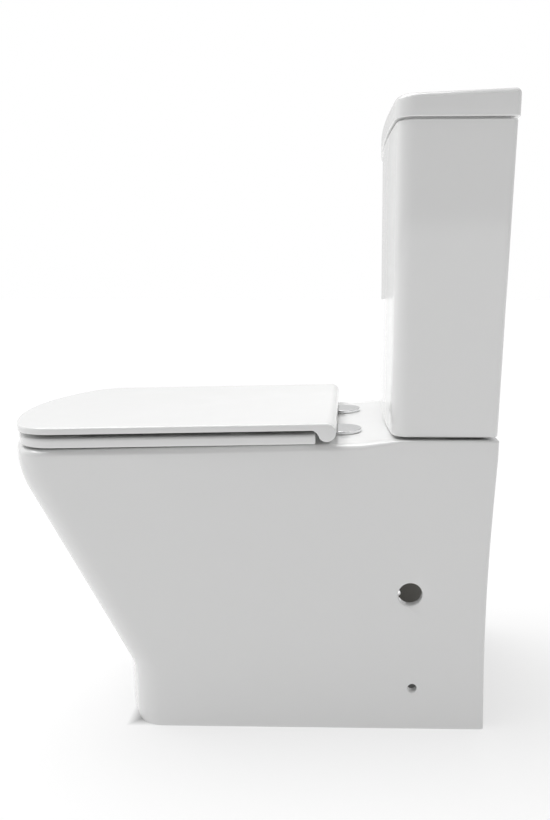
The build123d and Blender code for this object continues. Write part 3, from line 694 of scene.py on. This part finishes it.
def makeCistern():
    low, high, rings = cistern["low"], cistern["high"], []
    r = cistern["bottomRound"]
    rings.append(levelRing(planPoints(cisternShape(low), r + 1.5), low))
    for a in quarterTurn(6):
        height = low + r * (1 - math.cos(a))
        rings.append(levelRing(planPoints(cisternShape(height), r * (1 - math.sin(a))), height))
    for k in range(1, 13):
        height = mix(low + r, high - cistern["rimRound"], k / 12)
        rings.append(levelRing(planPoints(cisternShape(height)), height))
    r = cistern["rimRound"]
    for a in quarterTurn(5, 1):
        height = high - r + r * math.sin(a)
        rings.append(levelRing(planPoints(cisternShape(high), r * (1 - math.cos(a))), height))
    for a in quarterTurn(5):
        rings.append(levelRing(planPoints(cisternShape(high, cistern["wall"]),
                                          -r * (1 - math.sin(a))),
                               high - r * (1 - math.cos(a))))
    floor, r = cistern["floor"], cistern["insideRound"]
    for k in range(1, 9):
        height = mix(high - cistern["rimRound"], floor + r, k / 8)
        rings.append(levelRing(planPoints(cisternShape(height, cistern["wall"])), height))
    for a in quarterTurn(6, 1):
        rings.append(levelRing(planPoints(cisternShape(floor, cistern["wall"]),
                                          r * (1 - math.cos(a))),
                               floor + r * (1 - math.sin(a))))
    rings.append(levelRing(planPoints(cisternShape(floor, cistern["wall"]), r + 1.5), floor))
    body = meshObject("cisternCasting", ringSolid(rings), glaze)
    boltX, boltRadius = cistern["bolt"]
    shankX, shankRadius = cistern["shank"]
    holes = [(0, cistern["outlet"]), (shankX, shankRadius), (boltX, boltRadius),
             (-boltX, boltRadius)]
    cutWith(body, [uprightRod("floorHole", radius, low - 5, floor + 5, x, valveDistance, clayPaintedShade)
                   for x, radius in holes])
    finishPiece(body, "toilet", ["cistern"], 34)
    print("cistern ready", len(body.data.polygons))


makeCistern()


# cistern lid, with its locating rib below and the button's seat on top
cisternLid = {"half": 185.0, "front": 146.0, "bow": 2200.0, "corner": 24.0, "rear": 0.0,
              "rearCorner": 6.0,
              "low": 783.5, "rearTop": 813.4, "fall": 2.4, "topRound": 7.0, "lowRound": 0.8,
              "land": 9.5,
              "landLow": 781.0, "ribLow": 771.0, "ribOut": 13.2, "ribIn": 20.0, "ceiling": 799.0,
              "recess": 30.0, "recessFloor": 808.0, "hole": 24.5, "cutLow": 760, "cutHigh": 830,
              "ribRound": 6}


def lidTop(distance):
    return cisternLid["rearTop"] - distance * math.tan(math.radians(cisternLid["fall"]))


def lidRing(inset, height):
    return levelRing(planPoints(cisternLid, inset), height)


def makeCisternLid():
    c = cisternLid
    r = c["ribRound"]
    rings = [lidRing(c["ribIn"] + r + 2, c["ceiling"])]
    for a in quarterTurn(4):
        rings.append(lidRing(c["ribIn"] + r * (1 - math.sin(a)),
                             c["ceiling"] - r * (1 - math.cos(a))))
    rings += [lidRing(c["ribIn"] + 0.2, c["ribLow"] + 1), lidRing(c["ribIn"] + 1.2, c["ribLow"])]
    rings += [lidRing(c["ribOut"] + 1, c["ribLow"]), lidRing(c["ribOut"], c["ribLow"] + 1)]
    rings += [lidRing(c["ribOut"], c["landLow"]), lidRing(c["land"] + 0.6, c["landLow"])]
    rings += [lidRing(c["land"], c["landLow"] + 0.6), lidRing(c["land"], c["low"])]
    r = c["lowRound"]
    for a in quarterTurn(4):
        rings.append(lidRing(r * (1 - math.sin(a)), c["low"] + r * (1 - math.cos(a))))
    wall = planPoints(c)
    r = c["topRound"]
    for t in (0.5, 1.0):
        ring = [place(x, d, mix(c["low"] + c["lowRound"], lidTop(d) - r, t)) for x, d in wall]
        rings.append(ring)
    for a in quarterTurn(8, 1):
        points = planPoints(c, r * (1 - math.cos(a)))
        rings.append([place(x, d, lidTop(d) - r + r * math.sin(a)) for x, d in points])
    rings.append([place(x, d, lidTop(d)) for x, d in planPoints(c, r + 2)])
    body = meshObject("cisternLidCasting", ringSolid(rings), glaze)
    cuts = [uprightRod("buttonHole", c["hole"], c["cutLow"], c["cutHigh"], 0, valveDistance, glaze)]
    cuts.append(uprightRod("buttonRecess", c["recess"], c["recessFloor"], c["cutHigh"], 0,
                           valveDistance, glaze, 96))
    flare = turnedBm([(0, -0.9), (c["recess"] + 0.05, -0.9), (c["recess"] + 0.3, -0.35),
                      (c["recess"] + 0.9, 0),
                      (c["recess"] + 1.6, 0.6), (0, 0.6)], 96)
    tilt = Matrix.Rotation(math.radians(c["fall"]), 3, "X")
    bmesh.ops.rotate(flare, verts=flare.verts, cent=(0, 0, 0), matrix=tilt)
    bmesh.ops.translate(flare, verts=flare.verts,
                        vec=place(0, valveDistance, lidTop(valveDistance)))
    cuts.append(meshObject("recessEdge", flare, glaze))
    cutWith(body, cuts)
    finishPiece(body, "cistern_lid", ["cistern_lid"], 34)
    print("cistern lid ready", len(body.data.polygons))


makeCisternLid()


# push button in two halves, in its chrome ring
button = {"radius": 20.7, "low": 801.0, "high": 812.0, "split": -4.0, "gap": 0.5, "edge": 1.2,
          "bezelOut": 29.4, "bezelIn": 21.2, "bezelLow": 808.0, "bezelHigh": 812.5,
          "bezelRound": 1.8}


def makeButtonHalf(name, side, body, node):
    b = button
    bm = rodBm(b["radius"], b["low"], b["high"], 96)
    keepFrom = (b["split"] + side * b["gap"]) * mm
    geom = bm.verts[:] + bm.edges[:] + bm.faces[:]
    cut = bmesh.ops.bisect_plane(bm, geom=geom, dist=1e-7, plane_co=(keepFrom, 0, 0),
                                 plane_no=(-side, 0, 0),
                                 clear_outer=True, clear_inner=False)
    openEdges = [e for e in cut["geom_cut"] if isinstance(e, bmesh.types.BMEdge)]
    bmesh.ops.holes_fill(bm, edges=openEdges)
    bmesh.ops.recalc_face_normals(bm, faces=bm.faces)
    roundBm(bm, b["edge"], 50, 4)
    bmesh.ops.translate(bm, verts=bm.verts, vec=place(0, valveDistance, 0))
    finishPiece(meshObject(name, bm, chrome), body, [node], 30)


def makeBezel():
    b = button
    r = b["bezelRound"]
    profile = [(b["bezelIn"], b["bezelLow"]), (b["bezelOut"], b["bezelLow"])]
    for a in quarterTurn(6):
        profile.append((b["bezelOut"] - r + r * math.cos(a), b["bezelHigh"] - r + r * math.sin(a)))
    for a in quarterTurn(4):
        profile.append((b["bezelIn"] + 0.8 - 0.8 * math.sin(a),
                        b["bezelHigh"] - 0.8 + 0.8 * math.cos(a)))
    bm = turnedBm(profile, 96)
    bmesh.ops.translate(bm, verts=bm.verts, vec=place(0, valveDistance, 0))
    finishPiece(meshObject("buttonBezelRing", bm, chrome), "cistern_lid",
                ["button_bezel"], 30)


makeButtonHalf("fullButtonCap", 1, "full_button", "full_flush_button")
makeButtonHalf("halfButtonCap", -1, "half_button", "half_flush_button")
makeBezel()
print("push button ready")


# seat lid and ring, both set out from the hinge line
seatSlope = math.radians(pan["rimSlope"])
seatLid = {"half": 181.0, "front": 653.0, "bow": 335.0, "corner": 62.0, "top": 12.0, "under": 3.3,
           "topRound": 3.0, "underRound": 1.0, "cavity": 9.3, "earIn": 157.0, "earRadius": 11.3,
           "knuckleIn": 127.0, "knuckleRadius": 9.6, "bore": 6.5, "earEdge": 1.2, "earInset": 2.5,
           "earHeel": (-5.0, 9.0), "earTurn": (150, 322), "earBlend": 1.2, "earReach": 9.0,
           "earHollow": (2.2, 0.75)}
seatRing = {"inset": 1.2, "top": -2.5, "under": -14.2, "rearEnd": 13.0, "topRound": 3.0,
            "underRound": 2.0,
            "crown": 1.4, "insideRound": 4.5, "knuckle": (96.5, 126.0), "knuckleRadius": 8.5,
            "bore": 6.5,
            "opening": {"half": 112.0, "front": 580.0, "bow": 300.0, "corner": 88.0, "rear": 302.0,
                        "rearCorner": 60.0}}


def seatPoint(x, distance, height):
    # the seat's own frame is tipped forward about the hinge line
    y = hingeDistance - distance
    rise = y * math.sin(seatSlope) + height * math.cos(seatSlope)
    back = y * math.cos(seatSlope) - height * math.sin(seatSlope)
    return Vector((x * mm, hingeMiddle.y + back * mm, (hingeHeight + rise) * mm))


def seatRingOf(points, height):
    return [seatPoint(x, d, height) for x, d in points]


def hingeRod(name, radius, xLow, xHigh, material, steps=64):
    # rod along the hinge line
    xLow, xHigh = sorted((xLow, xHigh))
    bm = rodBm(radius, xLow, xHigh, steps)
    bmesh.ops.rotate(bm, verts=bm.verts, cent=(0, 0, 0),
                     matrix=Matrix.Rotation(math.pi / 2, 3, "Y"))
    bmesh.ops.translate(bm, verts=bm.verts, vec=(0, hingeMiddle.y, hingeMiddle.z))
    return meshObject(name, bm, material)


def seatBox(name, xLow, xHigh, near, far, low, high, material, edge=0.0):
    xLow, xHigh = sorted((xLow, xHigh))
    bm = boxBm((xHigh - xLow, far - near, high - low), (0, 0, 0))
    if edge:
        roundBm(bm, edge)
    bmesh.ops.rotate(bm, verts=bm.verts, cent=(0, 0, 0), matrix=Matrix.Rotation(seatSlope, 3, "X"))
    middle = seatPoint((xLow + xHigh) / 2, (near + far) / 2, (low + high) / 2)
    bmesh.ops.translate(bm, verts=bm.verts, vec=middle)
    return meshObject(name, bm, material)


def lidOutline(inset):
    shape = dict(seatLid, rear=hingeDistance - inset, rearCorner=None)
    return planPoints(shape, inset)


def earProfile():
    # lobe below the lid at the hinge, with a hollow curve up to the lid's underside
    e = seatLid
    points = [(0.0, e["top"] - e["earInset"]), e["earHeel"]]
    for k in range(15):
        a = math.radians(mix(*e["earTurn"], k / 14))
        radius = mix(e["top"] - 0.05, e["earRadius"], smooth((a - math.pi) / e["earBlend"]))
        points.append((radius * math.cos(a), radius * math.sin(a)))
    lastU, lastH = points[-1]
    endU, endH = lastU + e["earReach"], e["under"] + 0.3
    pull, rise = e["earHollow"]
    hold = (lastU + pull, mix(lastH, endH, rise))
    for k in range(1, 9):
        t = k / 8
        u = (1 - t) ** 2 * lastU + 2 * t * (1 - t) * hold[0] + t * t * endU
        h = (1 - t) ** 2 * lastH + 2 * t * (1 - t) * hold[1] + t * t * endH
        points.append((u, h))
    points.append((endU, e["top"] - e["earInset"]))
    return points


def makeEar(side):
    e = seatLid
    bm = bmesh.new()
    outline = [bm.verts.new(seatPoint(side * e["earIn"], hingeDistance + u, h)) for u,
               h in earProfile()]
    start = bm.faces.new(outline)
    grown = bmesh.ops.extrude_face_region(bm, geom=[start], use_keep_orig=True)["geom"]
    far = [v for v in grown if isinstance(v, bmesh.types.BMVert)]
    bmesh.ops.translate(bm, verts=far, vec=(side * (e["half"] - e["earIn"] + 0.02) * mm, 0, 0))
    bmesh.ops.recalc_face_normals(bm, faces=bm.faces)
    outer = [x for x in grown if isinstance(x, bmesh.types.BMFace)][0]
    rim = [edge for edge in outer.edges
           if max(((v.co - hingeMiddle).z) for v in edge.verts) < (e["top"] - 4) * mm]
    bmesh.ops.bevel(bm, geom=rim, offset=e["earEdge"] * mm, offset_type="OFFSET", segments=3,
                    profile=0.5,
                    affect="EDGES", material=-1, clamp_overlap=True)
    return meshObject("ear", bm, seatPlastic)


def makeSeatLid():
    s = seatLid
    rings = [seatRingOf(lidOutline(s["underRound"] + 2), s["under"])]
    r = s["underRound"]
    for a in quarterTurn(4):
        rings.append(seatRingOf(lidOutline(r * (1 - math.sin(a))),
                                s["under"] + r * (1 - math.cos(a))))
    r = s["topRound"]
    for a in quarterTurn(7):
        rings.append(seatRingOf(lidOutline(r * (1 - math.cos(a))), s["top"] - r + r * math.sin(a)))
    rings.append(seatRingOf(lidOutline(r + 2), s["top"]))
    bm = ringSolid(rings)
    back = [f for f in bm.faces if all(abs(seatDistance(v.co)) < 1e-6 for v in f.verts)]
    bmesh.ops.spin(bm, geom=back, cent=hingeMiddle, axis=(1, 0, 0), angle=-math.pi / 2, steps=12,
                   use_duplicate=False)
    bmesh.ops.remove_doubles(bm, verts=bm.verts, dist=1e-7)
    bmesh.ops.recalc_face_normals(bm, faces=bm.faces)
    body = meshObject("seatLidShell", bm, seatPlastic)
    cutWith(body, [hingeRod("rollCavity", s["cavity"], -s["earIn"], s["earIn"], seatPlastic)])
    adds = []
    for side in (1, -1):
        adds.append(makeEar(side))
        adds.append(hingeRod("knuckle", s["knuckleRadius"], side * s["knuckleIn"],
                             side * (s["earIn"] + 1),
                             seatPlastic))
    cutWith(body, adds, "UNION")
    cutWith(body, [hingeRod("knuckleBore", s["bore"], side * (s["knuckleIn"] - 1),
                            side * (s["earIn"] + 0.5),
                            seatPlastic) for side in (1, -1)])
    finishPiece(body, "seat_lid", ["seat_lid"], 34)
    print("seat lid ready", len(body.data.polygons))


def seatDistance(co):
    # how far a point lies behind the plane through the hinge line, square to the seat
    back, rise = co.y - hingeMiddle.y, co.z - hingeMiddle.z
    return back * math.cos(seatSlope) + rise * math.sin(seatSlope)


def makeSeatRing():
    s = seatRing
    outer = dict(seatLid, rear=hingeDistance + s["rearEnd"], rearCorner=3.0)
    inner = s["opening"]
    rings = []
    r = s["underRound"]
    for a in quarterTurn(4):
        rings.append(seatRingOf(planPoints(outer, s["inset"] + r * (1 - math.sin(a))),
                                s["under"] + r * (1 - math.cos(a))))
    r = s["topRound"]
    for a in quarterTurn(6):
        rings.append(seatRingOf(planPoints(outer, s["inset"] + r * (1 - math.cos(a))),
                                s["top"] - r + r * math.sin(a)))
    outEdge = planPoints(outer, s["inset"] + r)
    r = s["insideRound"]
    inEdge = planPoints(inner, -r)
    for k in range(1, 11):
        t = k / 10
        ring = []
        for (x1, d1), (x2, d2) in zip(outEdge, inEdge):
            ring.append(seatPoint(mix(x1, x2, t), mix(d1, d2, t),
                                  s["top"] - s["crown"] * smooth(t)))
        rings.append(ring)
    top = s["top"] - s["crown"]
    for a in quarterTurn(7, 1):
        rings.append(seatRingOf(planPoints(inner, -r * (1 - math.sin(a))),
                                top - r * (1 - math.cos(a))))
    r = s["underRound"]
    for a in quarterTurn(4):
        rings.append(seatRingOf(planPoints(inner, -r * (1 - math.cos(a))),
                                s["under"] + r - r * math.sin(a)))
    bm = bmesh.new()
    start = firstRing(bm, rings[0])
    edges = start
    for ring in rings[1:]:
        edges = nextRing(bm, edges, ring)
    bmesh.ops.bridge_loops(bm, edges=start + edges)
    bmesh.ops.recalc_face_normals(bm, faces=bm.faces)
    body = meshObject("seatRingShell", bm, seatPlastic)
    adds = []
    for side in (1, -1):
        low, high = (side * x for x in s["knuckle"])
        adds.append(hingeRod("knuckle", s["knuckleRadius"], low, high, seatPlastic))
        adds.append(seatBox("knuckleArm", low, high, hingeDistance + 1, hingeDistance + 22,
                            -s["knuckleRadius"] + 0.1,
                            s["top"] - 0.1, seatPlastic))
    cutWith(body, adds, "UNION")
    cutWith(body, [hingeRod("knuckleBore", s["bore"], side * (s["knuckle"][0] - 1),
                            side * (s["knuckle"][1] + 1),
                            seatPlastic) for side in (1, -1)])
    finishPiece(body, "seat_ring", ["seat_ring"], 34)
    print("seat ring ready", len(body.data.polygons))


makeSeatLid()
makeSeatRing()


# stage, light and camera, in metres
stage = {"floor": 40.0, "floorColor": (0.3, 0.3, 0.3), "floorGlow": 0.66, "skyNear": 0.27,
         "skyBehind": 0.72,
         "skyForEye": 1.0, "sun": 2.25, "sunFrom": (-0.15, -0.33, 0.93), "sunAngle": 50.0,
         "frontLamp": 4.0, "frontSize": 1.0, "frontSpot": (-0.3, -1.1, 2.2),
         "frontAim": (0, 0.1, 0.5), "darkReach": 0.25, "darkFade": 0.02, "skyFade": (-0.45, 0.3)}


def makeFloor():
    bm = bmesh.new()
    bmesh.ops.create_grid(bm, x_segments=1, y_segments=1, size=stage["floor"] / 2)
    floorLook = bpy.data.materials.new("paleFloor")
    floorLook.use_nodes = True
    floorShader = floorLook.node_tree.nodes["Principled BSDF"]
    floorShader.inputs["Base Color"].default_value = (*stage["floorColor"], 1)
    floorShader.inputs["Roughness"].default_value = 0.8
    floorShader.inputs["Specular IOR Level"].default_value = 0.1
    floorShader.inputs["Emission Color"].default_value = (1, 1, 1, 1)
    # the glow stops under the pan, so that no light comes up from below it
    links = floorLook.node_tree.links.new
    coords = addNode(floorLook.node_tree, "ShaderNodeTexCoord")
    split = addNode(floorLook.node_tree, "ShaderNodeSeparateXYZ")
    links(coords.outputs["Object"], split.inputs[0])
    glow = None
    half = stage["darkReach"]
    for axis, middle, reach in (("X", 0.0, pan["rearHalf"] * mm), ("Y", wallY - half, half)):
        offset = addNode(floorLook.node_tree, "ShaderNodeMath", operation="SUBTRACT")
        offset.inputs[1].default_value = middle
        links(split.outputs[axis], offset.inputs[0])
        away = addNode(floorLook.node_tree, "ShaderNodeMath", operation="ABSOLUTE")
        links(offset.outputs[0], away.inputs[0])
        outside = addNode(floorLook.node_tree, "ShaderNodeMapRange")
        outside.inputs["From Min"].default_value = reach - stage["darkFade"]
        outside.inputs["From Max"].default_value = reach
        outside.inputs["To Max"].default_value = stage["floorGlow"]
        links(away.outputs[0], outside.inputs["Value"])
        if glow:
            either = addNode(floorLook.node_tree, "ShaderNodeMath", operation="MAXIMUM")
            links(glow.outputs[0], either.inputs[0])
            links(outside.outputs[0], either.inputs[1])
            outside = either
        glow = outside
    links(glow.outputs[0], floorShader.inputs["Emission Strength"])
    meshObject("floor", bm, floorLook)


def makeWorld():
    world = bpy.data.worlds.new("studio")
    bpy.context.scene.world = world
    world.use_nodes = True
    tree = world.node_tree
    seen = tree.nodes["Background"]
    seen.inputs["Color"].default_value = (1, 1, 1, 1)
    seen.inputs["Strength"].default_value = stage["skyForEye"]
    lighting = tree.nodes.new("ShaderNodeBackground")
    lighting.inputs["Color"].default_value = (1, 1, 1, 1)
    # the studio is brighter behind the object than on the camera's side
    coords = addNode(tree, "ShaderNodeTexCoord")
    split = addNode(tree, "ShaderNodeSeparateXYZ")
    fade = addNode(tree, "ShaderNodeMapRange", interpolation_type="SMOOTHSTEP")
    fade.inputs["From Min"].default_value, fade.inputs["From Max"].default_value = stage["skyFade"]
    fade.inputs["To Min"].default_value = stage["skyBehind"]
    fade.inputs["To Max"].default_value = stage["skyNear"]
    tree.links.new(coords.outputs["Generated"], split.inputs[0])
    tree.links.new(split.outputs["X"], fade.inputs["Value"])
    tree.links.new(fade.outputs["Result"], lighting.inputs["Strength"])
    path = tree.nodes.new("ShaderNodeLightPath")
    choose = tree.nodes.new("ShaderNodeMixShader")
    tree.links.new(path.outputs["Is Camera Ray"], choose.inputs[0])
    tree.links.new(lighting.outputs[0], choose.inputs[1])
    tree.links.new(seen.outputs[0], choose.inputs[2])
    tree.links.new(choose.outputs[0], tree.nodes["World Output"].inputs[0])


def addLamp(name, spot, aim, power, size):
    lamp = bpy.data.lights.new(name, "AREA")
    lamp.energy = power
    lamp.shape = "SQUARE"
    lamp.size = size
    lampObject = bpy.data.objects.new(name, lamp)
    lampObject.location = spot
    lampObject.rotation_mode = "QUATERNION"
    lampObject.rotation_quaternion = (Vector(aim) - Vector(spot)).to_track_quat("-Z", "Y")
    bpy.context.scene.collection.objects.link(lampObject)


camera = {"spot": (1105.8, 193.06, 610.1), "yaw": 1.27, "pitch": 14.4, "lens": 33.37,
          "shift": (-0.0667, 0.0751)}


def makeCamera():
    data = bpy.data.cameras.new("camera")
    data.lens = camera["lens"]
    data.sensor_width = 36.0
    data.shift_x, data.shift_y = camera["shift"]
    data.clip_end = 50.0
    eye = bpy.data.objects.new("camera", data)
    x, distance, height = camera["spot"]
    eye.location = place(x, distance, height)
    yaw, pitch = math.radians(camera["yaw"]), math.radians(camera["pitch"])
    look = Vector((-math.cos(yaw) * math.cos(pitch), -math.sin(yaw) * math.cos(pitch),
                   -math.sin(pitch)))
    eye.rotation_mode = "QUATERNION"
    eye.rotation_quaternion = look.to_track_quat("-Z", "Y")
    bpy.context.scene.collection.objects.link(eye)
    bpy.context.scene.camera = eye


makeFloor()
makeWorld()
sun = bpy.data.lights.new("softSun", "SUN")
sun.energy = stage["sun"]
sun.angle = math.radians(stage["sunAngle"])
sunObject = bpy.data.objects.new("softSun", sun)
sunObject.rotation_mode = "QUATERNION"
sunObject.rotation_quaternion = (-Vector(stage["sunFrom"])).to_track_quat("-Z", "Y")
bpy.context.scene.collection.objects.link(sunObject)
addLamp("frontLamp", stage["frontSpot"], stage["frontAim"], stage["frontLamp"], stage["frontSize"])
makeCamera()
bpy.context.scene.view_settings.view_transform = "Standard"
print("stage ready")
